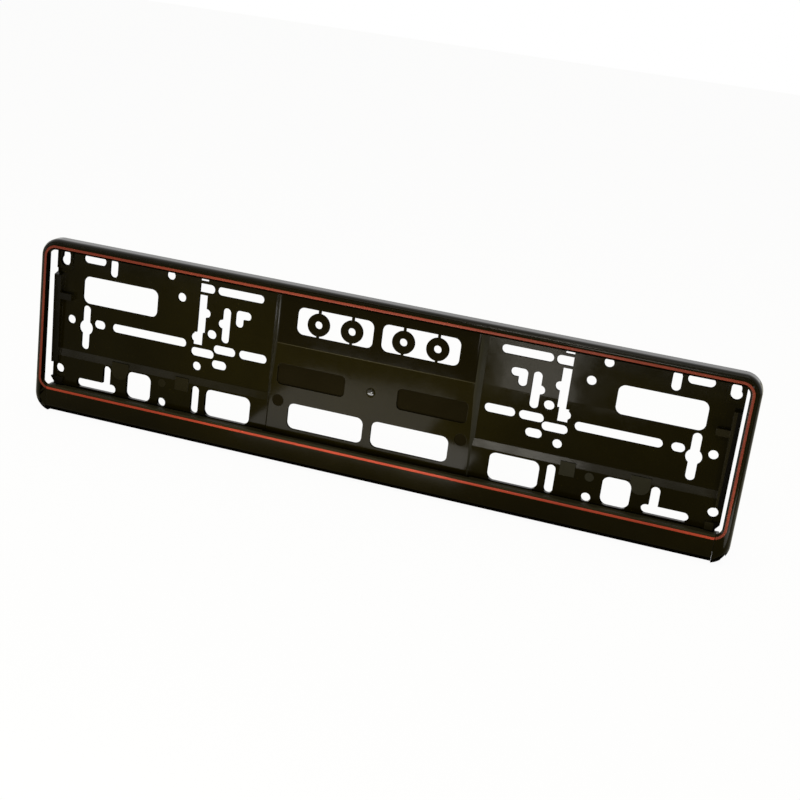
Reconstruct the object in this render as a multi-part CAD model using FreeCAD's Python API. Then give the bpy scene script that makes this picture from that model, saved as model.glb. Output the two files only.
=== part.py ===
import FreeCAD, Part
import math
import os

# Number plate holder: a moulded carrier with a lip frame on three sides, and a closing strip
# hooked along its lower edge. Millimetres. X runs along the plate, -Y faces the viewer, +Z is up.
# Y = 0 is the back plane that lies against the vehicle, and the origin is the plate's centre.

# The plate that the holder carries. Stations are given on this standard plate.
standard_length = 520.0
standard_height = 110.0
plate_length = 520.0
plate_height = 110.0

# Moulding
wall = 1.8
frame_depth = 12.9
frame_wall = 2.2
lip_thickness = 2.3
lip_width = 7.5
lip_bevel = 1.1
lip_overlap_side = 1.5
lip_overlap_level = 2.2
shelf_below_lip = 1.2
lip_corner_radius = 5.8
edge_round = 5.5
lower_corner_radius = 15.0

# Red line: an inlay in the lip. On the carrier a ridge and a narrow groove follow outside it
line_offset = 1.5
line_width = 1.8
line_thickness = 0.6
line_proud = 0.15
ridge_width = 1.7
groove_width = 0.9
groove_floor = 1.6

# Closing strip
strip_height = 20.3
strip_wall = 2.2
strip_end_gap = 0.15
strip_seam_inset = 3.5
shelf_wall = 1.6
shelf_gap = 0.3
flange_wall = 1.8
flange_reach = 4.9
tip_drop = 1.2

# Hinge of the closing strip
pivot_depth = 5.8
pivot_above_edge = 5.5
bar_radius = 1.5
bar_clearance = 0.08
hook_wall = 1.6
hook_width = 9.0
hook_mouth = 2.6
cheek_wall = 1.6
cheek_gap = 0.6
hook_pitch = 90.0
hooks_each_side = 2

# Catches that hold the strip shut
catch_width = 10.0
catch_wall = 1.4
catch_reach = 4.4
catch_nose = 0.7
catch_nose_length = 1.2
catch_drop = 3.3
ridge_depth = 0.7
ridge_length = 1.0
ridge_set_back = 1.5

# Back panel
rail_drop = 14.5
side_slot_inset = 2.3
side_slot_stop = 1.3
centre_half_width = 75.4
centre_side_run = 3.8
centre_edge_round = 6.0
centre_rise_top = 3.64
centre_rise_low = 1.9
centre_crease = 15.6
back_rib_wall = 1.6
back_rib_rows = [20.0, -24.0, -51.0]
boss_radius = 9.0
core_window_count = 8
core_window_rib = 6.0
core_window_reach = 248.0
core_window_lift = 0.8

# Openings that repeat
bolt_row = -0.8
round_hole_radius = 3.4
narrow_slot = 6.4
bolt_slot = 6.8
window_radius = 5.2

# Openings of the right-hand side panel: station, height, then the sizes. The left panel mirrors them
round_holes = [(242.7, bolt_row), (163.3, -50.0), (163.3, 48.0), (153.5, 33.2), (137.4, -16.5), (119.8, 19.2)]
corner_hole = (250.0, -40.8)
corner_hole_radius = 3.67
level_slots = [(218.9, bolt_row, 9.3), (177.8, bolt_row, 61.2), (116.5, bolt_row, 17.8)]
level_slots += [(93.8, bolt_row, 22.2), (133.8, -5.6, 18.6), (119.8, -12.4, 12.0)]
level_slots += [(127.5, 9.8, 7.5), (225.8, 48.0, 18.4)]
level_narrow_slot = (107.3, 43.4, 36.8)
upright_slots = [(209.8, 44.5, 13.8), (136.4, -42.4, 21.2), (116.8, 18.5, 26.8)]
bulged_slot = (230.2, -5.0, 34.4)
bulge_radius = 5.7
keyhole_slot = (249.0, 46.0, 11.4)
keyhole_bulb = (249.6, 43.9)
keyhole_radius = 3.9
side_windows = [(203.3, 24.2, 61.6, 21.2), (183.1, -42.1, 20.4, 21.0), (109.9, -42.5, 36.7, 21.0)]

# Slot shaped like an upside-down T
tee_foot = (218.3, -48.6, 33.0)
tee_stem = 209.9
tee_top = -31.4

# Angle slot: a level arm and a hanging arm share one outer corner
angle_corner = (109.8, 31.9)
angle_level_arm = 12.2
angle_hanging_arm = 12.8

# Ladder slot: a long upright slot crossed by two thin webs
ladder_left = 133.1
ladder_step = 9.6
ladder_foot = -0.2
ladder_webs = [39.2, 47.7]
ladder_web = 1.8
ladder_top_gap = 1.0
ladder_rung_reach = 5.4
ladder_bulb_height = 24.9
ladder_bulge_height = 5.2
ladder_bulge_shift = 0.75
ladder_foot_reach = 2.3
ladder_jog = 1.5

# Openings of the right-hand half of the centre
centre_window = (32.0, 34.6, 57.8, 20.4)
screw_row = 34.0
ring_stations = [19.3, 44.5]
ring_radius = 8.3
ring_bore_radius = 2.9
ring_web = 1.8
low_window = (32.3, -37.9, 58.2, 19.8)

# Raised details of the side panels
end_rail_width = 5.5
end_rail_rise_top = 5.0
end_rail_rise_low = 3.4
end_rail_top = 33.0
end_rail_low = -36.0
rib_rise = 4.5
rib_low = 14.5
rib_top = 19.5
rib_reach = 9.2
ledge_top = -24.0
ledge_bevel = 0.8
ledge_foot = -30.5
ledge_bevel_rise = 0.3
ledge_rise = 1.1
square_pad = (142.2, 153.0, -37.6, -27.3)
round_pad = (191.8, 205.8, -39.6, -26.5)
pad_rise = 1.4
corner_pad_low = 37.5
corner_pad_left = 243.8
corner_pad_rise = 1.4
side_mark = (163.6, -34.8)
side_mark_radius = 3.2
stop_width = 10.0
stop_top = -47.3
stop_rise = 2.8
stop_cut_top = -48.0
stop_cut_foot = -51.4
stop_cut_run = 2.6
mark_depth = 0.3

# Details of the raised centre
centre_mark = (69.7, -27.9)
centre_mark_radius = 4.4
pocket = (19.9, 72.0, -15.4, 0.6)
pocket_corner = 3.5
pocket_depth = 1.0
stud_height = -7.3
stud_radius = 3.6
stud_rise = 1.4

# Places worked out from the sizes above
half_length = plate_length / 2 - lip_overlap_side
half_height = plate_height / 2 - lip_overlap_level
outer_half = half_length + lip_width
outer_top = half_height + lip_width
front = -frame_depth
lip_back = front + lip_thickness
panel_front = -wall
inner_half = outer_half - frame_wall
inner_top = outer_top - frame_wall
outer_radius = lip_corner_radius + lip_width
inner_radius = outer_radius - frame_wall
base_half = half_length - side_slot_inset
seam = half_length - strip_seam_inset
strip_bottom = -half_height - strip_height
shelf_top = -half_height - shelf_below_lip
rail_bottom = shelf_top - rail_drop
pivot_y = -pivot_depth
pivot_z = strip_bottom + pivot_above_edge
hook_radius = bar_radius + bar_clearance + hook_wall
centre_front = panel_front - centre_rise_top
centre_foot = centre_half_width + centre_side_run
through = frame_depth * 3


def along(x):
    """Station along the plate, from its place on the standard plate."""
    return x * plate_length / standard_length


def up(z):
    """Height, from its place on the standard plate."""
    return z * plate_height / standard_height


def mirrored(shape):
    """The shape and its mirror image across the middle of the plate."""
    other = shape.mirror(FreeCAD.Vector(0, 0, 0), FreeCAD.Vector(1, 0, 0))
    return [shape, other]


def fuse_all(shapes):
    first = shapes[0]
    return first.multiFuse(shapes[1:]) if len(shapes) > 1 else first


def block(x0, x1, y0, y1, z0, z1):
    corner = FreeCAD.Vector(min(x0, x1), min(y0, y1), min(z0, z1))
    return Part.makeBox(abs(x1 - x0), abs(y1 - y0), abs(z1 - z0), corner)


def rounded_outline(x0, x1, z0, z1, radii, y):
    """Closed outline in the plane Y = y. radii: lower left, lower right, upper right, upper left."""
    limit = min(x1 - x0, z1 - z0) / 2
    low_left, low_right, top_right, top_left = [min(r, limit) for r in radii]
    corners = [
        (x0, z0, low_left, 1, 1, 180),
        (x1, z0, low_right, -1, 1, 270),
        (x1, z1, top_right, -1, -1, 0),
        (x0, z1, top_left, 1, -1, 90),
    ]
    edges = []
    last = None
    first = None
    for cx, cz, r, sx, sz, start in corners:
        points = []
        for turn in (0, 45, 90):
            a = math.radians(start + turn)
            px = cx + sx * r + r * math.cos(a)
            pz = cz + sz * r + r * math.sin(a)
            points.append(FreeCAD.Vector(px, y, pz))
        if last is not None and last.distanceToPoint(points[0]) > 1e-6:
            edges.append(Part.LineSegment(last, points[0]).toShape())
        if r > 1e-6:
            edges.append(Part.Arc(*points).toShape())
        first = first or points[0]
        last = points[2]
    if last.distanceToPoint(first) > 1e-6:
        edges.append(Part.LineSegment(last, first).toShape())
    return Part.Wire(edges)


def rounded_block(x0, x1, z0, z1, r, y0, y1):
    """Prism with a rounded rectangular face. r is one radius or four."""
    radii = r if isinstance(r, (list, tuple)) else [r] * 4
    outline = rounded_outline(x0, x1, z0, z1, radii, y0)
    return Part.Face(outline).extrude(FreeCAD.Vector(0, y1 - y0, 0))


def polygon_block(points, axis, start, length):
    """Prism of a polygon. axis 'X': points are (y, z). axis 'Y': points are (x, z)."""
    if axis == "X":
        corners = [FreeCAD.Vector(start, y, z) for y, z in points]
        travel = FreeCAD.Vector(length, 0, 0)
    else:
        corners = [FreeCAD.Vector(x, start, z) for x, z in points]
        travel = FreeCAD.Vector(0, length, 0)
    return Part.Face(Part.makePolygon(corners + corners[:1])).extrude(travel)


def cylinder_y(x, z, r, y0, y1):
    return Part.makeCylinder(r, y1 - y0, FreeCAD.Vector(x, y0, z), FreeCAD.Vector(0, 1, 0))


def cylinder_x(y, z, r, x0, x1):
    return Part.makeCylinder(r, x1 - x0, FreeCAD.Vector(x0, y, z), FreeCAD.Vector(1, 0, 0))


def lip_ring(offset, width, y0, y1):
    """Band that follows the lip's inner edge, offset outwards from it, closed all round."""
    bands = []
    for grow in (offset + width, offset):
        x = half_length + grow
        z = half_height + grow
        bands.append(rounded_block(-x, x, -z, z, lip_corner_radius + grow, y0, y1))
    return bands[0].cut(bands[1])


def line_seat():
    """Channel in the lip that the red line lies in."""
    return lip_ring(line_offset, line_width, front - wall, front - line_proud + line_thickness)


def lip_groove():
    """Groove round the carrier's lip, ending where the lower corners begin."""
    ring = lip_ring(line_offset + line_width + ridge_width, groove_width, front - wall, front + groove_floor)
    return ring.cut(block(-outer_half, outer_half, front - wall, 0, -outer_top, lip_corner_radius - half_height))


def strip_zone(gap):
    """Everything that belongs to the closing strip's bay, drawn in by a gap at both ends."""
    x = seam - gap
    return block(-x, x, front - wall, through, strip_bottom - wall, -half_height + lip_corner_radius)


# Carrier: the frame


def frame_blank():
    """Solid blank inside the outer contour, its front edge rounded."""
    # The lower corners' arcs reach their lowest point inside the bay, so the tips still slope
    run = lower_corner_radius - (outer_half - seam)
    sag = lower_corner_radius - math.sqrt(lower_corner_radius**2 - run**2)
    outline = rounded_block(
        -outer_half,
        outer_half,
        strip_bottom - tip_drop - sag,
        outer_top,
        [lower_corner_radius, lower_corner_radius, outer_radius, outer_radius],
        front,
        0,
    )
    rim = []
    for edge in outline.Edges:
        box = edge.BoundBox
        if box.YMax < front + 1e-3:
            rim.append(edge)
    return outline.makeFillet(edge_round, rim)


def lip_opening():
    """What is cut away inside the lip: the opening, widened to the front by the bevel."""
    straight = rounded_block(
        -half_length, half_length, -half_height, half_height, lip_corner_radius, front - wall, panel_front
    )
    wires = []
    for y, grow in ((front + lip_bevel, 0.0), (front - lip_bevel, 2 * lip_bevel)):
        x = half_length + grow
        z = half_height + grow
        wires.append(rounded_outline(-x, x, -z, z, [lip_corner_radius + grow] * 4, y))
    return straight.fuse(Part.makeLoft(wires, True))


def frame():
    body = frame_blank()
    body = body.cut(lip_opening())
    pocket = rounded_block(
        -inner_half,
        inner_half,
        shelf_top,
        inner_top,
        [0, 0, inner_radius, inner_radius],
        lip_back,
        panel_front,
    )
    body = body.cut(pocket)
    body = body.cut(line_seat()).cut(lip_groove())
    # The lower corner blocks are hollow, open behind and at the top
    hollow = rounded_block(
        seam + wall,
        inner_half,
        strip_bottom + frame_wall,
        shelf_top + wall,
        [0, lower_corner_radius - frame_wall, 0, 0],
        front + frame_wall,
        through,
    )
    # The bay of the closing strip, down to the plain rail behind it
    bay = block(-seam, seam, front - wall, panel_front, strip_bottom * 2, -half_height + lip_corner_radius)
    below_rail = block(-seam, seam, panel_front, through, strip_bottom * 2, rail_bottom)
    for shape in mirrored(hollow) + [bay, below_rail]:
        body = body.cut(shape)
    return body


# Carrier: the raised centre of the back panel


def centre_outline(inset):
    """Side view of the raised centre, as (y, z) points, drawn in by an inset."""
    low = shelf_top
    crest = centre_front + inset
    foot = panel_front - centre_rise_low + inset
    return [
        (crest, outer_top - frame_wall / 2),
        (crest, up(centre_crease)),
        (foot, low),
        (panel_front + inset, low - centre_rise_low + inset / 2),
        (through, low - centre_rise_low + inset / 2),
        (through, outer_top - frame_wall / 2),
    ]


def centre_plan(inset):
    """The same from above: a front face with rounded edges and sloping sides, as a prism along Z."""
    slope = centre_side_run / centre_rise_top
    half = centre_half_width - inset * math.tan(math.atan(1 / slope) / 2)
    crest = centre_front + inset
    foot = half + (wall - crest) * slope
    low = rail_bottom - wall
    points = [(-half, crest), (half, crest), (foot, wall), (-foot, wall)]
    corners = [FreeCAD.Vector(x, y, low) for x, y in points]
    face = Part.Face(Part.makePolygon(corners + corners[:1]))
    prism = face.extrude(FreeCAD.Vector(0, 0, outer_top - low))
    edges = []
    for edge in prism.Edges:
        box = edge.BoundBox
        if box.YMax < crest + 1e-3 and box.ZLength > wall:
            edges.append(edge)
    return prism.makeFillet(centre_edge_round - inset, edges)


def centre_form(inset):
    width = outer_half * 2
    side = polygon_block(centre_outline(inset), "X", -outer_half, width)
    return side.common(centre_plan(inset))


def raised_centre(body):
    """Press the centre of the panel forwards and hollow it from behind."""
    behind = block(-outer_half, outer_half, 0, through * 2, strip_bottom * 2, outer_top * 2)
    body = body.fuse(centre_form(0).cut(behind))
    # The hollow stops short of the frame's top bar
    hollow = centre_form(wall).common(
        block(-outer_half, outer_half, front, through, strip_bottom * 2, inner_top - wall)
    )
    body = body.cut(hollow)
    shapes = []
    top = inner_top - wall / 2
    low = shelf_top
    crown = centre_front + wall / 2
    half_rib = back_rib_wall / 2
    window_edge = along(centre_window[0]) + centre_window[2] / 2
    outer_rib = (window_edge + centre_half_width) / 2
    for x in (-outer_rib, 0, outer_rib):
        rib = block(x - half_rib, x + half_rib, crown, 0, low, top)
        shapes.append(rib)
    for row in back_rib_rows:
        z = up(row)
        shapes.append(block(-outer_rib, outer_rib, crown, 0, z - half_rib, z + half_rib))
    ribs = fuse_all(shapes).common(centre_form(wall / 2))
    boss = cylinder_y(0, 0, boss_radius, centre_front + wall, 0)
    return body.fuse(ribs).fuse(boss)


# Carrier: raised details of the side panels


def pad(place, radii):
    """Low plateau on the panel. place: left and right station, lower and upper height."""
    left, right, low, high = place
    outline = (along(left), along(right), up(low), up(high))
    return rounded_block(*outline, radii, panel_front - pad_rise, panel_front + wall / 2)


def side_details():
    """Rail, rib, ledge, pads and marks of the right-hand panel."""
    sink = panel_front + wall / 2
    inner_edge = base_half - end_rail_width
    rail = polygon_block(
        [
            (sink, up(end_rail_low)),
            (panel_front - end_rail_rise_low, up(end_rail_low)),
            (panel_front - end_rail_rise_top, up(end_rail_top)),
            (sink, up(end_rail_top) + end_rail_width / 3),
        ],
        "X",
        inner_edge,
        end_rail_width,
    )
    rib = block(inner_edge - rib_reach, base_half, sink, panel_front - rib_rise, up(rib_low), up(rib_top))
    # The ledge: below a small bevel the panel ramps forwards, and stays thicker down to the shelf
    ledge_front = panel_front - ledge_rise
    above_shelf = shelf_top + 3 * shelf_gap
    ledge = polygon_block(
        [
            (sink, up(ledge_top)),
            (panel_front, up(ledge_top)),
            (panel_front - ledge_bevel_rise, up(ledge_top - ledge_bevel)),
            (ledge_front, up(ledge_foot)),
            (ledge_front, above_shelf),
            (sink, above_shelf),
        ],
        "X",
        centre_half_width,
        inner_edge - centre_half_width,
    )
    half_pad = (round_pad[1] - round_pad[0]) / 2
    pads = [pad(square_pad, 0), pad(round_pad, [half_pad, half_pad, 0, 0])]
    mark_x, mark_z = side_mark
    mark = cylinder_y(along(mark_x), up(mark_z), side_mark_radius, ledge_front - mark_depth, sink)
    corner_front = panel_front - corner_pad_rise
    corner_pad = block(along(corner_pad_left), base_half, sink, corner_front, up(corner_pad_low), inner_top)
    # The plate stop, its outer corner cut off
    stop_inner = base_half - stop_width
    stop = polygon_block(
        [
            (stop_inner, up(stop_top)),
            (base_half, up(stop_top)),
            (base_half, up(stop_cut_top)),
            (base_half - stop_cut_run, up(stop_cut_foot)),
            (base_half - stop_cut_run, above_shelf),
            (stop_inner, above_shelf),
        ],
        "Y",
        panel_front - stop_rise,
        stop_rise + wall / 2,
    )
    return fuse_all([rail, rib, ledge] + pads + [mark, corner_pad, stop])


def side_cores():
    """Cut from behind: the side rail is cored to an even wall, and the panel stops at the slot."""
    core = block(
        base_half - end_rail_width + wall,
        base_half - wall,
        panel_front - end_rail_rise_low + wall,
        through,
        up(end_rail_low) + wall,
        up(end_rail_top) - wall,
    )
    slot_top = half_height - side_slot_stop
    side_slot = block(base_half, inner_half, lip_back, through, shelf_top, slot_top)
    corner_cut = polygon_block(
        [
            (inner_half, up(stop_cut_top)),
            (base_half, up(stop_cut_top)),
            (base_half - stop_cut_run, up(stop_cut_foot)),
            (base_half - stop_cut_run, shelf_top),
            (inner_half, shelf_top),
        ],
        "Y",
        lip_back,
        through,
    )
    return [core, side_slot, corner_cut]


def core_windows():
    """The row of slots under the top lip, which let the mould form its underside."""
    reach = along(core_window_reach)
    pitch = 2 * reach / core_window_count
    low = half_height + core_window_lift
    cuts = []
    for i in range(core_window_count):
        left = -reach + i * pitch + core_window_rib / 2
        cuts.append(block(left, left + pitch - core_window_rib, lip_back, through, low, inner_top))
    return cuts


# Carrier: holes, slots and windows


def window(x, z, width, height, r):
    """Opening through the panel, centred at a station and a height of the standard plate."""
    x = along(x)
    z = up(z)
    half_w = width / 2
    half_h = height / 2
    return rounded_block(x - half_w, x + half_w, z - half_h, z + half_h, r, lip_back + wall, through)


def slot(x, z, width, height):
    return window(x, z, width, height, min(width, height) / 2)


def hole(x, z, r=round_hole_radius):
    return cylinder_y(along(x), up(z), r, lip_back + wall, through)


def side_openings():
    """Openings of the right-hand side panel; the left-hand panel has their mirror images."""
    cuts = [hole(x, z) for x, z in round_holes]
    cuts.append(hole(*corner_hole, corner_hole_radius))
    for x, z, width in level_slots:
        cuts.append(slot(x, z, width, bolt_slot))
    x, z, width = level_narrow_slot
    cuts.append(slot(x, z, width, narrow_slot))
    for x, z, height in upright_slots + [bulged_slot]:
        cuts.append(slot(x, z, narrow_slot, height))
    cuts.append(hole(bulged_slot[0], bulged_slot[1], bulge_radius))
    x, z, height = keyhole_slot
    cuts.append(slot(x, z, bolt_slot, height))
    cuts.append(hole(*keyhole_bulb, keyhole_radius))
    for x, z, width, height in side_windows:
        cuts.append(window(x, z, width, height, window_radius))
    return fuse_all(cuts + tee_slot() + angle_slot() + ladder_slot())


def tee_slot():
    x, z, width = tee_foot
    half = narrow_slot / 2
    stem = along(tee_stem)
    radii = [0, 0, half, half]
    upright = rounded_block(stem - half, stem + half, up(z), up(tee_top), radii, lip_back, through)
    return [slot(x, z, width, bolt_slot), upright]


def angle_slot():
    outer = along(angle_corner[0])
    top = up(angle_corner[1])
    half = narrow_slot / 2
    level = rounded_block(outer - angle_level_arm, outer, top - narrow_slot, top, half, lip_back, through)
    hanging = rounded_block(outer - narrow_slot, outer, top - angle_hanging_arm, top, half, lip_back, through)
    return [level, hanging]


def ladder_slot():
    """Long upright slot crossed by two thin webs, with round bulges and a half slot beside it."""
    left = along(ladder_left)
    right = left + narrow_slot
    jog = left + ladder_jog
    step = up(ladder_step)
    foot = up(ladder_foot)
    web_low, web_high = [up(z) for z in ladder_webs]
    half_web = ladder_web / 2
    half = narrow_slot / 2
    rung = [half, 0, 0, half]
    cuts = [
        block(left, right, lip_back, through, step, web_low - half_web),
        block(left, right, lip_back, through, web_high + half_web, half_height - ladder_top_gap),
        rounded_block(
            left - ladder_rung_reach, right, web_low + half_web, web_high - half_web, rung, lip_back, through
        ),
        cylinder_y(left, up(ladder_bulb_height), round_hole_radius, lip_back + wall, through),
    ]
    # Below the step the slot shifts outwards and takes in a round hole
    bulge_x = right + ladder_bulge_shift
    cuts.append(cylinder_y(bulge_x, up(ladder_bulge_height), round_hole_radius, lip_back + wall, through))
    cuts.append(block(jog, right + ladder_foot_reach, lip_back, through, foot, step))
    return cuts


def centre_openings():
    """Right-hand half of the centre: the window with two screw rings, and the window below it."""
    cut = window(*centre_window, window_radius)
    half_web = ring_web / 2
    reach = 2 * ring_radius
    for station in ring_stations:
        x = along(station)
        z = up(screw_row)
        ring = cylinder_y(x, z, ring_radius, front, through)
        web = block(x - half_web, x + half_web, front, through, z - reach, z + reach)
        cut = cut.cut(ring.fuse(web))
        cut = cut.fuse(hole(station, screw_row, ring_bore_radius))
    return cut.fuse(window(*low_window, window_radius))


def centre_details(body):
    """Bare pockets, shallow round marks and the small domed stud on the raised centre."""
    slope = (centre_rise_top - centre_rise_low) / (up(centre_crease) - shelf_top)

    def face_at(z):
        return centre_front + slope * (up(centre_crease) - z)

    left, right = [along(x) for x in pocket[:2]]
    low, high = [up(z) for z in pocket[2:]]
    floor = face_at(low) + pocket_depth
    backing = rounded_block(left - wall, right, low - wall, high + wall, window_radius, floor, floor + wall)
    recess = rounded_block(left, right, low, high, pocket_corner, front, floor)
    x, z = centre_mark
    mark = cylinder_y(along(x), up(z), centre_mark_radius, front, face_at(up(z)) + mark_depth)
    for shape in mirrored(backing):
        body = body.fuse(shape.common(centre_form(wall / 2)))
    for shape in mirrored(recess) + mirrored(mark):
        body = body.cut(shape)
    z = up(stud_height)
    face = face_at(z)
    dome_radius = (stud_radius**2 + stud_rise**2) / (2 * stud_rise)
    ball = Part.makeSphere(dome_radius, FreeCAD.Vector(0, face + dome_radius - stud_rise, z))
    reach = 2 * stud_radius
    return body.fuse(ball.common(block(-reach, reach, front, face + wall / 2, z - reach, z + reach)))


# Carrier: hooks and catches along the lower rail


def hook_stations():
    return [along(i * hook_pitch) for i in range(-hooks_each_side, hooks_each_side + 1)]


def catch_stations():
    places = [along((i + 0.5) * hook_pitch) for i in range(1, hooks_each_side + 1)]
    return [-x for x in reversed(places)] + places


def hook(x):
    """Open knuckle on a short arm; the pivot bar of the strip snaps in through its mouth."""
    half = hook_width / 2
    knuckle = cylinder_x(pivot_y, pivot_z, hook_radius, x - half, x + half)
    arm = block(x - half, x + half, pivot_y, panel_front + wall / 2, pivot_z - 1.0, pivot_z + hook_radius)
    bore = cylinder_x(pivot_y, pivot_z, bar_radius + bar_clearance, x - half, x + half)
    mouth = block(
        x - half, x + half, pivot_y - hook_mouth / 2, pivot_y + hook_mouth / 2, pivot_z - 2 * hook_radius, pivot_z
    )
    return knuckle.fuse(arm).cut(bore).cut(mouth)


def catch(x):
    """Springy tongue under the shelf, with a low nose in front of the strip's ridge."""
    top = shelf_top - catch_drop
    low = top - catch_wall
    tip = panel_front - catch_reach
    return polygon_block(
        [
            (panel_front + wall / 2, low),
            (panel_front + wall / 2, top),
            (tip + catch_nose_length, top),
            (tip + catch_nose_length / 2, top + catch_nose),
            (tip, top),
            (tip, low),
        ],
        "X",
        x - catch_width / 2,
        catch_width,
    )


def carrier():
    body = frame()
    for shape in mirrored(side_details()):
        body = body.fuse(shape)
    body = raised_centre(body)
    for shape in side_cores():
        for side in mirrored(shape):
            body = body.cut(side)
    body = centre_details(body)
    cuts = core_windows()
    cuts += mirrored(side_openings())
    cuts += mirrored(centre_openings())
    for shape in cuts:
        body = body.cut(shape)
    additions = [hook(x) for x in hook_stations()] + [catch(x) for x in catch_stations()]
    body = body.multiFuse(additions)
    return body.removeSplitter()


# Closing strip


def strip_profile():
    """Solid side view between front wall, shelf, pivot and flange, as (y, z) points."""
    front_inner = front + strip_wall
    shelf_under = shelf_top - shelf_wall
    flange_top = strip_bottom + flange_wall
    reach = bar_radius + cheek_wall / 2
    return [
        (front_inner - strip_wall / 2, flange_top + strip_wall),
        (front_inner - strip_wall / 2, shelf_under + shelf_wall / 2),
        (panel_front - shelf_gap, shelf_under + shelf_wall / 2),
        (panel_front - shelf_gap, shelf_under),
        (pivot_y + reach, pivot_z),
        (pivot_y + reach / 2, pivot_z - reach),
        (pivot_y - reach / 2, pivot_z - reach),
        (front + flange_reach, flange_top - flange_wall / 2),
    ]


def cheek(x, thickness):
    return polygon_block(strip_profile(), "X", x - thickness / 2, thickness)


def strip_blank():
    """The strip's outer skin: front wall with a rounded lower edge, shelf and flange."""
    half = seam - strip_end_gap
    blank = block(-half, half, front, panel_front - shelf_gap, strip_bottom, lip_corner_radius - half_height)
    edges = []
    for edge in blank.Edges:
        box = edge.BoundBox
        if box.ZMax < strip_bottom + 1e-3 and box.YMax < front + 1e-3:
            edges.append(edge)
    blank = blank.makeFillet(edge_round, edges)
    above_shelf = block(-outer_half, outer_half, lip_back, panel_front, shelf_top, outer_top)
    blank = blank.cut(above_shelf).cut(lip_opening())
    inside = polygon_block(
        [
            (front + strip_wall, strip_bottom + flange_wall + strip_wall),
            (front + strip_wall, shelf_top - shelf_wall),
            (panel_front, shelf_top - shelf_wall),
            (panel_front, strip_bottom + flange_wall),
            (front + 2 * strip_wall, strip_bottom + flange_wall),
        ],
        "X",
        -outer_half,
        2 * outer_half,
    )
    behind_flange = block(
        -outer_half, outer_half, front + flange_reach, 0, strip_bottom * 2, strip_bottom + flange_wall
    )
    return blank.cut(inside).cut(behind_flange)


def closing_strip():
    body = strip_blank()
    additions = []
    half = seam - strip_end_gap
    inner = hook_width / 2 + cheek_gap
    for x in hook_stations():
        for side in (-1, 1):
            additions.append(cheek(x + side * (inner + cheek_wall / 2), cheek_wall))
        additions.append(cylinder_x(pivot_y, pivot_z, bar_radius, x - inner - wall / 2, x + inner + wall / 2))
    for side in (-1, 1):
        additions.append(cheek(side * (half - cheek_wall / 2), cheek_wall))
    ridge_back = panel_front - ridge_set_back
    under = shelf_top - shelf_wall
    for x in catch_stations():
        additions.append(
            block(
                x - catch_width / 2, x + catch_width / 2, ridge_back - ridge_length, ridge_back,
                under - ridge_depth, under + shelf_wall / 2,
            )
        )
    body = body.multiFuse(additions)
    # The shelf is notched where the raised centre stands forward
    notch_half = centre_foot + 2 * shelf_gap
    notch_front = panel_front - centre_rise_low - 2 * shelf_gap
    body = body.cut(block(-notch_half, notch_half, notch_front, 0, rail_bottom, half_height))
    return body.cut(line_seat()).removeSplitter()


def red_line():
    return lip_ring(line_offset, line_width, front - line_proud, front - line_proud + line_thickness)


parts = {
    "carrier": carrier(),
    "closing_strip": closing_strip(),
    "frame_red_line": red_line().cut(strip_zone(0)),
    "strip_red_line": red_line().common(strip_zone(strip_end_gap)),
}

os.makedirs("parts", exist_ok=True)
for name, shape in parts.items():
    solids = shape.Solids
    print(name, "solids", len(solids), "volume", round(shape.Volume), "valid", shape.isValid())
    shape.exportStep("parts/" + name + ".step")
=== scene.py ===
import math
import bpy
import numpy as np
from mathutils import Matrix, Vector


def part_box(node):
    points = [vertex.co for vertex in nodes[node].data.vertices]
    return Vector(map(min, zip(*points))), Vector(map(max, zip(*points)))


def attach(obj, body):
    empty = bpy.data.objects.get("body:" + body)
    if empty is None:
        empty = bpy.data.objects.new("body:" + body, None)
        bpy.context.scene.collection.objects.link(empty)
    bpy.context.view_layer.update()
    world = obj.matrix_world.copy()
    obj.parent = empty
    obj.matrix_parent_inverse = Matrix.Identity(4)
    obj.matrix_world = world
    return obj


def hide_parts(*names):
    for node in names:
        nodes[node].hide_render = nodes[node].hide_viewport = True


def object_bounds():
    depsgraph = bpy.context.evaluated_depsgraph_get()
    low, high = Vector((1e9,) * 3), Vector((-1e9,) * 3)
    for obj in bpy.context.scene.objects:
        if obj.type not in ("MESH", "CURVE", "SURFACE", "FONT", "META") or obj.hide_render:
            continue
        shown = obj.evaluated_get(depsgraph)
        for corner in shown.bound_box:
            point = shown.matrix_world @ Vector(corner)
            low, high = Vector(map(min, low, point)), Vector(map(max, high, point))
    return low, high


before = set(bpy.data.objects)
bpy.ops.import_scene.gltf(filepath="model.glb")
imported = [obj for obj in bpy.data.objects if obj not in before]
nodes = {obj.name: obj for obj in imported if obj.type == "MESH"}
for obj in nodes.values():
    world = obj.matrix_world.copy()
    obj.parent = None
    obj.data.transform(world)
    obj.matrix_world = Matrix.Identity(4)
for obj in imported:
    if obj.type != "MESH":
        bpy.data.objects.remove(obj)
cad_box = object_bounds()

# Number plate holder, with its front towards -Y and upright along Z. Lengths are in metres.


# Carrier: one injection moulding in black plastic. The slotted panel, the raised centre and the
# lip frame come out of the mould together, with a fine spark grain on every face.

MM = 0.001

# The surface: patterns per metre, then how strong and how high the waves and the grain stand
TONE_SCALE = 18
GLOSS_SCALE = 40
WAVE_SCALE = 24
WAVE_STRENGTH = 0.5
WAVE_HEIGHT = 0.5 * MM
GRAIN_SCALE = 2600
GRAIN_STRENGTH = 0.1
GRAIN_HEIGHT = 0.03 * MM
EDGE_RADIUS = 0.35 * MM
EDGE_SAMPLES = 4

# Straight on, the gloss of the black faces is far weaker than along them
GLOSS_TINT = (0.055, 0.053, 0.048)
PALE_GLOSS_TINT = (0.060, 0.058, 0.053)
PLAIN_TINT = (1.0, 1.0, 1.0)

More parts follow.
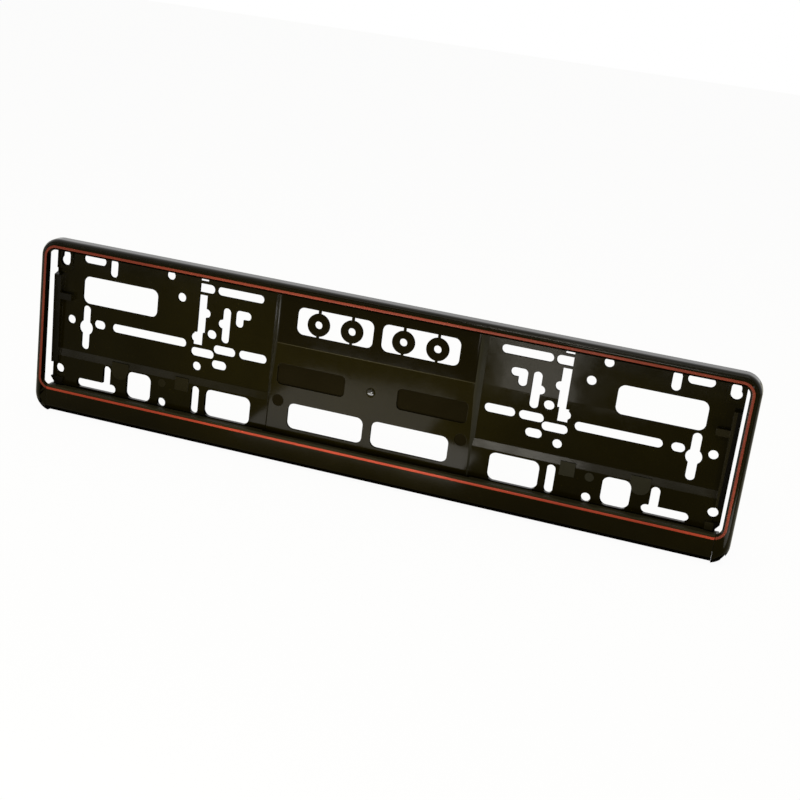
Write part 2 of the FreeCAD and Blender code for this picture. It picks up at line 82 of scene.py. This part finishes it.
# The level crease of the panel and the centre, the centre's painted shade above it and the painted highlight
# line on it
CREASE_HEIGHT = 15.6 * MM
CREASE_BLEND = 1.0 * MM
CREASE_LINE = (0.1 * MM, 0.35 * MM)
CREASE_PAINTED_HIGHLIGHT = (0.020, 0.017, 0.008)
UPPER_PAINTED_SHADE = (0.0027, 0.0019, 0.0001)
PANEL_LEAN = 0.02
CENTRE_LEAN = -0.06

# The right-hand end rail: its inner strip, painted paler as a painted reflection, and the part beyond it,
# painted dark as painted shade
RAIL_INNER = 250.7 * MM
RAIL_STRIP = 1.8 * MM
RAIL_TAPER = 0.014
RAIL_BLEND = 0.6 * MM
RAIL_PAINTED_SHADE = (0.0008, 0.0005, 0.0001)


def object_noise(tree, coords, scale, detail, rough):
    """Noise = a soft random pattern of the Object coordinates times scale, in patterns per metre."""
    noise = tree.nodes.new("ShaderNodeTexNoise")
    noise.inputs["Scale"].default_value = scale
    noise.inputs["Detail"].default_value = detail
    noise.inputs["Roughness"].default_value = rough
    tree.links.new(coords.outputs["Object"], noise.inputs["Vector"])
    return noise.outputs["Fac"]


def spread(tree, value, low, high, from_low=0.3, from_high=0.7):
    """The value carried over in proportion from its own range to low ... high, and held there.
    Its own range is the middle part of the noise, if no other is given."""
    node = tree.nodes.new("ShaderNodeMapRange")
    node.inputs["From Min"].default_value = from_low
    node.inputs["From Max"].default_value = from_high
    node.inputs["To Min"].default_value = low
    node.inputs["To Max"].default_value = high
    tree.links.new(value, node.inputs["Value"])
    return node.outputs["Result"]


def mixed(tree, share, tone):
    """Colour = the one on input 6 times the rest of the share, plus the tone times the share."""
    mix = tree.nodes.new("ShaderNodeMix")
    mix.data_type = "RGBA"
    mix.inputs[7].default_value = (*tone, 1)
    tree.links.new(share, mix.inputs[0])
    return mix


def calculated(tree, operation, *terms):
    """One step of arithmetic. Each term is a fixed number, or the socket that carries a value."""
    step = tree.nodes.new("ShaderNodeMath")
    step.operation = operation
    for term, socket in zip(terms, step.inputs):
        if isinstance(term, bpy.types.NodeSocket):
            tree.links.new(term, socket)
        else:
            socket.default_value = term
    return step.outputs[0]


def place_on_object(tree):
    """The surface point's place in Object coordinates, split into X, Y and Z."""
    coords = tree.nodes.new("ShaderNodeTexCoord")
    split = tree.nodes.new("ShaderNodeSeparateXYZ")
    tree.links.new(coords.outputs["Object"], split.inputs[0])
    return split.outputs


def moulded_plastic(name, dark, light, rough, specular, tint, edge_radius=EDGE_RADIUS):
    """Moulded plastic: colour drifts between two tones, gloss drifts with the flow of the melt,
    a fine grain and a slow waviness lie in the surface, and every edge has a small radius."""
    material = bpy.data.materials.new(name)
    material.use_nodes = True
    tree = material.node_tree
    shader = tree.nodes["Principled BSDF"]
    coords = tree.nodes.new("ShaderNodeTexCoord")

    drift = object_noise(tree, coords, TONE_SCALE, detail=3, rough=0.55)
    tone = mixed(tree, spread(tree, drift, 0, 1), light)
    tone.inputs[6].default_value = (*dark, 1)
    tree.links.new(tone.outputs[2], shader.inputs["Base Color"])

    flow = object_noise(tree, coords, GLOSS_SCALE, detail=4, rough=0.6)
    tree.links.new(spread(tree, flow, *rough), shader.inputs["Roughness"])
    shader.inputs["Specular IOR Level"].default_value = specular
    shader.inputs["Specular Tint"].default_value = (*tint, 1)

    edge = tree.nodes.new("ShaderNodeBevel")
    edge.samples = EDGE_SAMPLES
    edge.inputs["Radius"].default_value = edge_radius
    wave = tree.nodes.new("ShaderNodeBump")
    wave.name = "waviness"
    wave.inputs["Strength"].default_value = WAVE_STRENGTH
    wave.inputs["Distance"].default_value = WAVE_HEIGHT
    tree.links.new(object_noise(tree, coords, WAVE_SCALE, detail=3, rough=0.5), wave.inputs["Height"])
    tree.links.new(edge.outputs["Normal"], wave.inputs["Normal"])
    grain = tree.nodes.new("ShaderNodeBump")
    grain.inputs["Strength"].default_value = GRAIN_STRENGTH
    grain.inputs["Distance"].default_value = GRAIN_HEIGHT
    tree.links.new(object_noise(tree, coords, GRAIN_SCALE, detail=2, rough=0.6), grain.inputs["Height"])
    tree.links.new(wave.outputs["Normal"], grain.inputs["Normal"])
    tree.links.new(grain.outputs["Normal"], shader.inputs["Normal"])
    return material


def panel_crease(material, lean):
    """The panel bends a little at a level crease: above it, depth = lean times the rise over it.
    Gives the socket that carries the height over the crease, for the centre's tones."""
    tree = material.node_tree
    over = calculated(tree, "SUBTRACT", place_on_object(tree)["Z"], CREASE_HEIGHT)
    rise = calculated(tree, "MAXIMUM", over, 0.0)
    slope = tree.nodes.new("ShaderNodeBump")
    slope.inputs["Strength"].default_value = 1.0
    slope.inputs["Distance"].default_value = 1.0
    tree.links.new(calculated(tree, "MULTIPLY", rise, -lean), slope.inputs["Height"])
    wave = tree.nodes["waviness"]
    tree.links.new(wave.inputs["Normal"].links[0].from_socket, slope.inputs["Normal"])
    tree.links.new(slope.outputs["Normal"], wave.inputs["Normal"])
    return over


def repaint(material, mix):
    """Put a colour mix between the material's present colour and its shader."""
    tree = material.node_tree
    colour = tree.nodes["Principled BSDF"].inputs["Base Color"]
    tree.links.new(colour.links[0].from_socket, mix.inputs[6])
    tree.links.new(mix.outputs[2], colour)


def crease_painted_shade_and_highlight(material, over):
    """Painted shade and a painted highlight: the centre is painted darker above its crease, and a fine pale
    line, a painted highlight, marks the crease itself: the line's share falls from 1 to 0 with the distance
    from the crease."""
    tree = material.node_tree
    repaint(material, mixed(tree, spread(tree, over, 0, 1, 0, CREASE_BLEND), UPPER_PAINTED_SHADE))
    away = calculated(tree, "ABSOLUTE", over)
    repaint(material, mixed(tree, spread(tree, away, 1, 0, *CREASE_LINE), CREASE_PAINTED_HIGHLIGHT))


def painted_rail_shade(material):
    """Painted reflection and painted shade: only the rail's inner strip is pale, a painted reflection, and
    it narrows downwards: its width = RAIL_STRIP + RAIL_TAPER times the height. Beyond it the rail's face is
    painted dark, as painted shade."""
    tree = material.node_tree
    place = place_on_object(tree)
    reach = calculated(tree, "MULTIPLY_ADD", place["Z"], -RAIL_TAPER, -RAIL_INNER - RAIL_STRIP)
    beyond = calculated(tree, "ADD", place["X"], reach)
    repaint(material, mixed(tree, spread(tree, beyond, 0, 1, 0, RAIL_BLEND), RAIL_PAINTED_SHADE))


def dress(node, materials):
    """Give a CAD node its materials. The first one covers the whole surface to begin with."""
    mesh = nodes[node].data
    mesh.materials.clear()
    for material in materials:
        mesh.materials.append(material)
    mesh.polygons.foreach_set("material_index", np.zeros(len(mesh.polygons), dtype=np.int32))


def face_table(node):
    """Centres in millimetres and normals of a CAD node's faces."""
    faces = nodes[node].data.polygons
    centres = np.empty(len(faces) * 3)
    normals = np.empty(len(faces) * 3)
    faces.foreach_get("center", centres)
    faces.foreach_get("normal", normals)
    return centres.reshape(-1, 3) / MM, normals.reshape(-1, 3)


def paint(node, chosen, material):
    """Turn the chosen faces over to another of the node's materials."""
    mesh = nodes[node].data
    index = np.empty(len(mesh.polygons), dtype=np.int32)
    mesh.polygons.foreach_get("material_index", index)
    index[chosen] = mesh.materials.find(material.name)
    mesh.polygons.foreach_set("material_index", index)


def between(values, limits):
    """Which of the values lie between the two limits."""
    low, high = limits
    return (values > low) & (values < high)


carrier_black = moulded_plastic(
    "carrier_black", dark=(0.0036, 0.0027, 0.0002), light=(0.0054, 0.0041, 0.0004),
    rough=(0.07, 0.16), specular=0.4, tint=GLOSS_TINT,
)
panel_crease(carrier_black, PANEL_LEAN)
centre_black = moulded_plastic(
    "centre_black", dark=(0.0038, 0.0028, 0.0002), light=(0.0056, 0.0042, 0.0004),
    rough=(0.07, 0.16), specular=0.4, tint=GLOSS_TINT,
)
# The centre's darker tone above the crease is painted shade, and its pale crease line a painted highlight
crease_painted_shade_and_highlight(centre_black, panel_crease(centre_black, CENTRE_LEAN))

# The two pockets and the two round marks of the centre are matt
etched_black = moulded_plastic(
    "etched_black", dark=(0.0036, 0.0027, 0.0009), light=(0.0052, 0.0040, 0.0015),
    rough=(0.45, 0.60), specular=0.0, tint=PLAIN_TINT,
)

# Painted light and shade: the right-hand pads and the centre's right flank are painted palest, as painted
# light. The left-hand pads and the right-hand rail's inner strip are painted a little paler than the panel,
# as painted light, and the left-hand rail is painted darker, as painted shade.
palest_painted_light = moulded_plastic(
    "palest_painted_light", dark=(0.0120, 0.0108, 0.0055), light=(0.0170, 0.0154, 0.0090),
    rough=(0.30, 0.40), specular=0.4, tint=PALE_GLOSS_TINT,
)
paler_painted_light = moulded_plastic(
    "paler_painted_light", dark=(0.0064, 0.0050, 0.0014), light=(0.0090, 0.0072, 0.0022),
    rough=(0.30, 0.40), specular=0.4, tint=GLOSS_TINT,
)
painted_rail_shade(paler_painted_light)
left_rail_painted_shade = moulded_plastic(
    "left_rail_painted_shade", dark=(0.0021, 0.0016, 0.0004), light=(0.0031, 0.0024, 0.0007),
    rough=(0.30, 0.40), specular=0.4, tint=GLOSS_TINT,
)

# Painted shade: the walls of the holes, the insides of the side walls, the undersides, the seam faces and
# the lip's left and upper bevels are painted nearly black, where shade falls. The stud and the right-hand
# bevel are smooth.
painted_shade_black = moulded_plastic(
    "painted_shade_black", dark=(0.0010, 0.0007, 0.0002), light=(0.0015, 0.0011, 0.0003),
    rough=(0.45, 0.60), specular=0.0, tint=PLAIN_TINT,
)
polished_black = moulded_plastic(
    "polished_black", dark=(0.0036, 0.0027, 0.0008), light=(0.0054, 0.0041, 0.0012),
    rough=(0.10, 0.16), specular=0.5, tint=(0.8, 0.8, 0.8), edge_radius=0.1 * MM,
)
dress("carrier", [
    carrier_black, centre_black, etched_black, palest_painted_light, paler_painted_light, painted_shade_black, polished_black, left_rail_painted_shade,
])

# How far a face has to be turned towards an axis, as the share of its normal along it
DOWNWARDS = 0.25
LEANING = 0.3
FORWARDS = 0.6
INWARDS = 0.76
SQUARE = 0.9

# Zones of the carrier in millimetres: stations out from the middle, heights, and depths along Y
CENTRE_REACH = 74.6
CENTRE_BACK = -4.0
POCKET_STATIONS = (19.0, 73.0)
POCKET_HEIGHTS = (-16.4, 1.6)
POCKET_DEPTHS = (-4.4, -1.9)
MARK_PLACE = (69.7, -27.9)
MARK_REACH = 4.5
MARK_DEPTHS = (-4.4, -3.0)
STUD_HEIGHT = -7.3
STUD_REACH = 3.5
STUD_FOOT = -5.7
PAD_STATIONS = (140, 210)
PAD_HEIGHTS = (-40, -26)
PAD_DEPTHS = (-3.23, -3.17)
RAIL_STATIONS = (238, 256.4)
RAIL_DEPTHS = (-7.5, -3.9)
FLANK_STATIONS = (74, 80.5)
FLANK_HEIGHTS = (-54, 54)
FLANK_DEPTHS = (-5.6, -1.7)
SIDE_WALL_STATIONS = (263.5, 264.1)
SEAM_STATIONS = (254.8, 255.2)
UNDERSIDE_TOP = -58

# The opening in the lip, as half its width and half its height in millimetres, and its bevel
OPENING = (258.5, 52.8)
OPENING_MARGIN = 1.0
LIP_BACK = -10.6
BEVEL_REACH = 1.45
BEVEL_SLACK = 0.2
RIGHT_BEVEL_FOOT = -50

# A hole's walls have their middles behind the face that they open in. The ledge and the part
# beside the keyholes are thicker than the panel, and within the centre every wall counts.
PANEL_WALLS = -1.95
LEDGE_TOP = -24
LEDGE_WALLS = -3.0
KEYHOLE_STATION = 238
KEYHOLE_WALLS = -2.5
CENTRE_WALLS_REACH = 74

centres, normals = face_table("carrier")
x, depth, height = centres.T
across, facing, upwards = normals.T
aside = np.abs(x)
forwards = facing < -FORWARDS
paint("carrier", forwards & (aside < CENTRE_REACH) & (depth < CENTRE_BACK), centre_black)

in_pocket = between(aside, POCKET_STATIONS) & between(height, POCKET_HEIGHTS) & between(depth, POCKET_DEPTHS)
on_mark = np.hypot(aside - MARK_PLACE[0], height - MARK_PLACE[1]) < MARK_REACH
on_mark &= between(depth, MARK_DEPTHS)
paint("carrier", (in_pocket & forwards) | on_mark, etched_black)

hole_wall = (np.abs(facing) < LEANING) & (aside < OPENING[0] - OPENING_MARGIN)
hole_wall &= np.abs(height) < OPENING[1] - OPENING_MARGIN
in_ledge = (height < LEDGE_TOP) & (depth > LEDGE_WALLS)
by_keyhole = (aside > KEYHOLE_STATION) & (depth > KEYHOLE_WALLS)
hole_wall &= (depth > PANEL_WALLS) | in_ledge | by_keyhole | (aside < CENTRE_WALLS_REACH)
on_bevel = (depth < LIP_BACK) & (aside < OPENING[0] + BEVEL_REACH) & (height < OPENING[1] + BEVEL_REACH)
right_bevel = on_bevel & (x > OPENING[0] - BEVEL_SLACK) & (height > RIGHT_BEVEL_FOOT)
dark_bevel = on_bevel & ((-x > OPENING[0] - BEVEL_SLACK) | (height > OPENING[1] - BEVEL_SLACK))
side_wall = (across * np.sign(x) < -INWARDS) & between(aside, SIDE_WALL_STATIONS)
underside = (upwards < -DOWNWARDS) & (height < UNDERSIDE_TOP)
at_seam = (np.abs(across) > SQUARE) & between(aside, SEAM_STATIONS)
# These faces get painted shade
paint("carrier", hole_wall | dark_bevel | side_wall | underside | at_seam, painted_shade_black)

on_pad = forwards & between(aside, PAD_STATIONS) & between(height, PAD_HEIGHTS) & between(depth, PAD_DEPTHS)
on_rail = (facing < -LEANING) & between(aside, RAIL_STATIONS) & between(depth, RAIL_DEPTHS)
on_flank = (across > LEANING) & (facing < -LEANING) & between(x, FLANK_STATIONS)
on_flank &= between(height, FLANK_HEIGHTS) & between(depth, FLANK_DEPTHS)
# Painted light on the pads, the right flank and the right-hand rail, and painted shade on the left-hand rail
paint("carrier", (on_pad & (x > 0)) | on_flank, palest_painted_light)
paint("carrier", (on_pad & (x < 0)) | (on_rail & (x > 0)), paler_painted_light)
paint("carrier", on_rail & (x < 0), left_rail_painted_shade)
on_stud = (np.hypot(aside, height - STUD_HEIGHT) < STUD_REACH) & (depth < STUD_FOOT)
paint("carrier", on_stud | right_bevel, polished_black)


# Closing strip: a separate moulding of the same plastic, from its own mould and a shade duller.
# It hooks onto the carrier's lower rail and swings up to close the lip frame.

# The shelf faces up by this share of its normal. The other values are zones in millimetres: the shelf is
# above its floor and its upward faces are painted paler, as painted light, and the strip's ends and its
# underside are painted nearly black, as painted shade.
UPWARDS = 0.5
SHELF_FLOOR = -56
STRIP_END = 254.5
STRIP_UNDERSIDE_TOP = -66

strip_black = moulded_plastic(
    "strip_black", dark=(0.0040, 0.0029, 0.0002), light=(0.0060, 0.0044, 0.0004),
    rough=(0.18, 0.30), specular=0.4, tint=PALE_GLOSS_TINT,
)
# The upward faces of the shelf are painted paler: painted light
shelf_painted_light = moulded_plastic(
    "shelf_painted_light", dark=(0.0130, 0.0110, 0.0040), light=(0.0190, 0.0160, 0.0065),
    rough=(0.55, 0.65), specular=0.06, tint=(0.5, 0.48, 0.44),
)
dress("closing_strip", [strip_black, shelf_painted_light, painted_shade_black])

centres, normals = face_table("closing_strip")
aside, height = np.abs(centres[:, 0]), centres[:, 2]
across, upwards = normals[:, 0], normals[:, 2]
paint("closing_strip", (upwards > UPWARDS) & (height > SHELF_FLOOR), shelf_painted_light)
strip_end = (np.abs(across) > SQUARE) & (aside > STRIP_END)
underside = (upwards < -DOWNWARDS) & (height < STRIP_UNDERSIDE_TOP)
paint("closing_strip", strip_end | underside, painted_shade_black)


# Red line: a slim bead of red plastic, laid into a seat in the lip all round the opening. The
# strip carries its own length of it, with a small gap to the frame's length at both seams.

LINE_WIDTH = 1.8 * MM
LINE_CORNER = 9.1 * MM
LINE_SHOULDER = 0.12 * MM
LINE_GAP = 0.45 * MM
LINE_EDGE = 0.1 * MM
CORNER_STEPS = 24
ACROSS_STEPS = 9

frame_low, frame_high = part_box("frame_red_line")
strip_low, strip_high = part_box("strip_red_line")
frame_seam = strip_high.x + LINE_GAP


def bead_section():
    """Offsets inwards from the line's outer edge, and depths. Up one side, over a low crown in
    the form of a parabola, and down the other side: the crown's depth = the line's front + the
    shoulder times the square of the share from the middle to an edge."""
    across = np.linspace(-1, 1, ACROSS_STEPS)
    crown = frame_low.y + LINE_SHOULDER * across**2
    inwards = (across + 1) / 2 * LINE_WIDTH
    offsets = np.concatenate(([0.0], inwards, [LINE_WIDTH]))
    depths = np.concatenate(([frame_high.y], crown, [frame_high.y]))
    return offsets, depths


def corner_points(offset, centre_x, centre_z, start, end):
    """Part of a circle from angle start to angle end: a point = the corner's centre + the radius
    times the cosine and sine of its angle. The radius is the corner's, less the offset."""
    turn = np.linspace(start, end, CORNER_STEPS)
    radius = LINE_CORNER - offset
    return np.stack([centre_x + radius * np.cos(turn), centre_z + radius * np.sin(turn)], axis=1)


def frame_line_path(offset):
    """From the right-hand seam up the right side, along the top and down to the left-hand seam.
    The seam's angle = the arc sine of its distance from the corner's centre over the radius."""
    x = frame_high.x - LINE_CORNER
    top = frame_high.z - LINE_CORNER
    low = strip_low.z + LINE_CORNER
    seam = math.asin((frame_seam - x) / (LINE_CORNER - offset))
    right_low = corner_points(offset, x, low, seam - math.pi / 2, 0)
    right_top = corner_points(offset, x, top, 0, math.pi / 2)
    half = np.concatenate([right_low, right_top])
    return np.concatenate([half, half[::-1] * (-1, 1)])


def strip_line_path(offset):
    """Along the bottom, ending at both seams on the first part of the corner's curve, with the
    seam's angle worked out as on the frame's line."""
    x = frame_high.x - LINE_CORNER
    low = strip_low.z + LINE_CORNER
    seam = math.asin((strip_high.x - x) / (LINE_CORNER - offset))
    half = corner_points(offset, x, low, -math.pi / 2, seam - math.pi / 2)
    return np.concatenate([half[::-1] * (-1, 1), half])


def bead(name, path):
    """The section carried along the path: a point's X and Z are the path's at the section's
    offset, and its Y is the section's depth. The grid is closed round the section and capped at
    both ends."""
    offsets, depths = bead_section()
    rows = np.stack([path(offset) for offset in offsets], axis=1)
    count, sides = rows.shape[:2]
    grid = np.empty((count, sides, 3))
    grid[:, :, 0] = rows[:, :, 0]
    grid[:, :, 1] = depths
    grid[:, :, 2] = rows[:, :, 1]
    along, around = np.meshgrid(np.arange(count - 1), np.arange(sides), indexing="ij")
    after = (around + 1) % sides
    here = along * sides
    beyond = here + sides
    corners = [here + around, beyond + around, beyond + after, here + after]
    quads = np.stack(corners, axis=-1).reshape(-1, 4)
    caps = [list(range(sides)), list(range((count - 1) * sides, count * sides))[::-1]]
    mesh = bpy.data.meshes.new(name)
    mesh.from_pydata(grid.reshape(-1, 3).tolist(), [], quads.tolist() + caps)
    mesh.validate()
    piece = bpy.data.objects.new(name, mesh)
    bpy.context.scene.collection.objects.link(piece)
    return piece


# One red plastic: the frame's length is painted darker, as painted shade, and the strip's length paler, as
# painted light
frame_red_painted_shade = moulded_plastic(
    "frame_red_painted_shade", dark=(0.100, 0.018, 0.009), light=(0.136, 0.026, 0.012),
    rough=(0.32, 0.44), specular=0.05, tint=PLAIN_TINT, edge_radius=LINE_EDGE,
)
strip_red_painted_light = moulded_plastic(
    "strip_red_painted_light", dark=(0.215, 0.028, 0.012), light=(0.290, 0.040, 0.017),
    rough=(0.32, 0.44), specular=0.05, tint=PLAIN_TINT, edge_radius=LINE_EDGE,
)

frame_line = bead("red_bead_frame", frame_line_path)
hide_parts("frame_red_line")
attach(frame_line, "carrier")
strip_line = bead("red_bead_strip", strip_line_path)
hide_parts("strip_red_line")
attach(strip_line, "strip")
for piece, red in ((frame_line, frame_red_painted_shade), (strip_line, strip_red_painted_light)):
    piece.data.materials.append(red)


# Studio: a plain pale floor at the holder's foot, a white surround, and two lamps above the
# holder and in front of it. Soft boxes on the floor and low upright cards in front of the holder
# are what its gloss mirrors.

FLOOR_SIZE = 12.0
FLOOR_TONE = (0.90, 0.87, 0.72)
FLOOR_ROUGHNESS = 0.9
FLOOR_WHITENESS = 0.95
WHITE = (1, 1, 1, 1)
SURROUND_STRENGTH = 0.45
BOX_LIFT = 2 * MM
CARD_FRONT = -0.62
CARD_LEVEL = -0.055
CARD_HEIGHT = 0.034

floor_z = cad_box[0][2]
half = FLOOR_SIZE / 2
floor_mesh = bpy.data.meshes.new("floor")
floor_mesh.from_pydata(
    [(-half, -half, floor_z), (half, -half, floor_z), (half, half, floor_z), (-half, half, floor_z)],
    [], [(0, 1, 2, 3)],
)
floor = bpy.data.objects.new("floor", floor_mesh)
bpy.context.scene.collection.objects.link(floor)


def seen_as_white(tree, lit, share, rays):
    """Mix the lit shader with plain white, for the named kinds of ray: the white part = share
    for a ray of one of those kinds, and 0 for any other."""
    ray = tree.nodes.new("ShaderNodeLightPath")
    white = tree.nodes.new("ShaderNodeEmission")
    white.inputs["Color"].default_value = WHITE
    white.inputs["Strength"].default_value = 1.0
    part = 0.0
    for kind in rays:
        part = calculated(tree, "MULTIPLY_ADD", ray.outputs[kind], share, part)
    mix = tree.nodes.new("ShaderNodeMixShader")
    tree.links.new(part, mix.inputs[0])
    tree.links.new(lit, mix.inputs[1])
    tree.links.new(white.outputs[0], mix.inputs[2])
    return mix.outputs[0]


floor_paint = bpy.data.materials.new("pale_floor")
floor_paint.use_nodes = True
floor_tree = floor_paint.node_tree
floor_shader = floor_tree.nodes["Principled BSDF"]
floor_shader.inputs["Base Color"].default_value = (*FLOOR_TONE, 1)
floor_shader.inputs["Roughness"].default_value = FLOOR_ROUGHNESS
floor_shader.inputs["Specular IOR Level"].default_value = 0.0
floor_rays = ["Is Camera Ray", "Is Transmission Ray"]
pale = seen_as_white(floor_tree, floor_shader.outputs[0], FLOOR_WHITENESS, floor_rays)
floor_tree.links.new(pale, floor_tree.nodes["Material Output"].inputs["Surface"])
floor_mesh.materials.append(floor_paint)

world = bpy.data.worlds.new("studio")
bpy.context.scene.world = world
world.use_nodes = True
sky = world.node_tree
surround = sky.nodes["Background"]
surround.inputs["Color"].default_value = WHITE
surround.inputs["Strength"].default_value = SURROUND_STRENGTH
sky_rays = ["Is Camera Ray", "Is Glossy Ray", "Is Transmission Ray"]
white_sky = seen_as_white(sky, surround.outputs[0], 1.0, sky_rays)
sky.links.new(white_sky, sky.nodes["World Output"].inputs["Surface"])


def power(radiance, width, height):
    """Watts that give a lamp's face this radiance: radiance times pi times the face's area."""
    return radiance * math.pi * width * height


def soft_lamp(name, place, aim, width, height, radiance, turn=0):
    """Area lamp at a place in metres, facing the aim point, then turned about its own axis."""
    light = bpy.data.lights.new(name, "AREA")
    light.shape = "RECTANGLE"
    light.size = width
    light.size_y = height
    light.energy = power(radiance, width, height)
    lamp = bpy.data.objects.new(name, light)
    lamp.location = place
    facing = (Vector(aim) - Vector(place)).to_track_quat("-Z", "Y").to_matrix()
    lamp.rotation_euler = (facing @ Matrix.Rotation(math.radians(turn), 3, "Z")).to_euler()
    bpy.context.scene.collection.objects.link(lamp)
    lamp.visible_camera = False


def floor_box(name, x, y, width, depth, radiance, turn=0):
    """Soft box lying on the floor in front of the holder, facing up. The gloss mirrors it."""
    soft_lamp(name, (x, y, floor_z + BOX_LIFT), (x, y, 1), width, depth, radiance, turn)


def low_card(name, x, width, radiance):
    """Low upright card in front of the holder, which the sloping ledge mirrors."""
    place = (x, CARD_FRONT, CARD_LEVEL)
    soft_lamp(name, place, (x, 0, CARD_LEVEL), width, CARD_HEIGHT, radiance)


soft_lamp("top_lamp", place=(0.1, -0.2, 1.5), aim=(0, 0, 0), width=1.4, height=0.8, radiance=2.4)
soft_lamp("key_lamp", place=(0.05, -1.15, 1.05), aim=(0, 0, 0), width=0.25, height=0.20, radiance=36)
floor_box("box_left", x=-0.50, y=-0.225, width=0.12, depth=0.13, radiance=12)
floor_box("box_right", x=0.047, y=-0.43, width=0.075, depth=0.25, radiance=27, turn=11.6)
floor_box("box_streak", x=0.145, y=-0.31, width=0.05, depth=0.02, radiance=16)
floor_box("box_centre", x=-0.050, y=-0.130, width=0.135, depth=0.146, radiance=10.5)
floor_box("box_corner", x=0.041, y=-0.078, width=0.045, depth=0.046, radiance=20)
floor_box("box_slope", x=0.345, y=-0.065, width=0.14, depth=0.05, radiance=12)
low_card("card_right", x=0.010, width=0.14, radiance=60)
low_card("card_far", x=0.155, width=0.17, radiance=10)
low_card("card_left", x=-0.46, width=0.3, radiance=5.2)


# Camera: a long lens, a little above the holder and to its right, turned about its own axis so
# that the holder runs down to the right across the picture.

# Angles in degrees. LEVEL turns the camera up from looking straight down, and PITCH tips it down.
LENS = 62.47
SENSOR = 36.0
NEAR_LIMIT = 0.05
CAMERA_PLACE = Vector((266.4, -914.8, 287.2)) * MM
LEVEL = 90
HEADING = 15.02
PITCH = -17.40
ROLL = 7.49

camera_data = bpy.data.cameras.new("camera")
camera_data.sensor_width = SENSOR
camera_data.lens = LENS
camera_data.clip_start = NEAR_LIMIT
camera = bpy.data.objects.new("camera", camera_data)
turned = (
    Matrix.Rotation(math.radians(HEADING), 4, "Z")
    @ Matrix.Rotation(math.radians(LEVEL + PITCH), 4, "X")
    @ Matrix.Rotation(math.radians(ROLL), 4, "Z")
)
camera.matrix_world = Matrix.Translation(CAMERA_PLACE) @ turned
bpy.context.scene.collection.objects.link(camera)
bpy.context.scene.camera = camera
bpy.context.scene.view_settings.view_transform = "Standard"
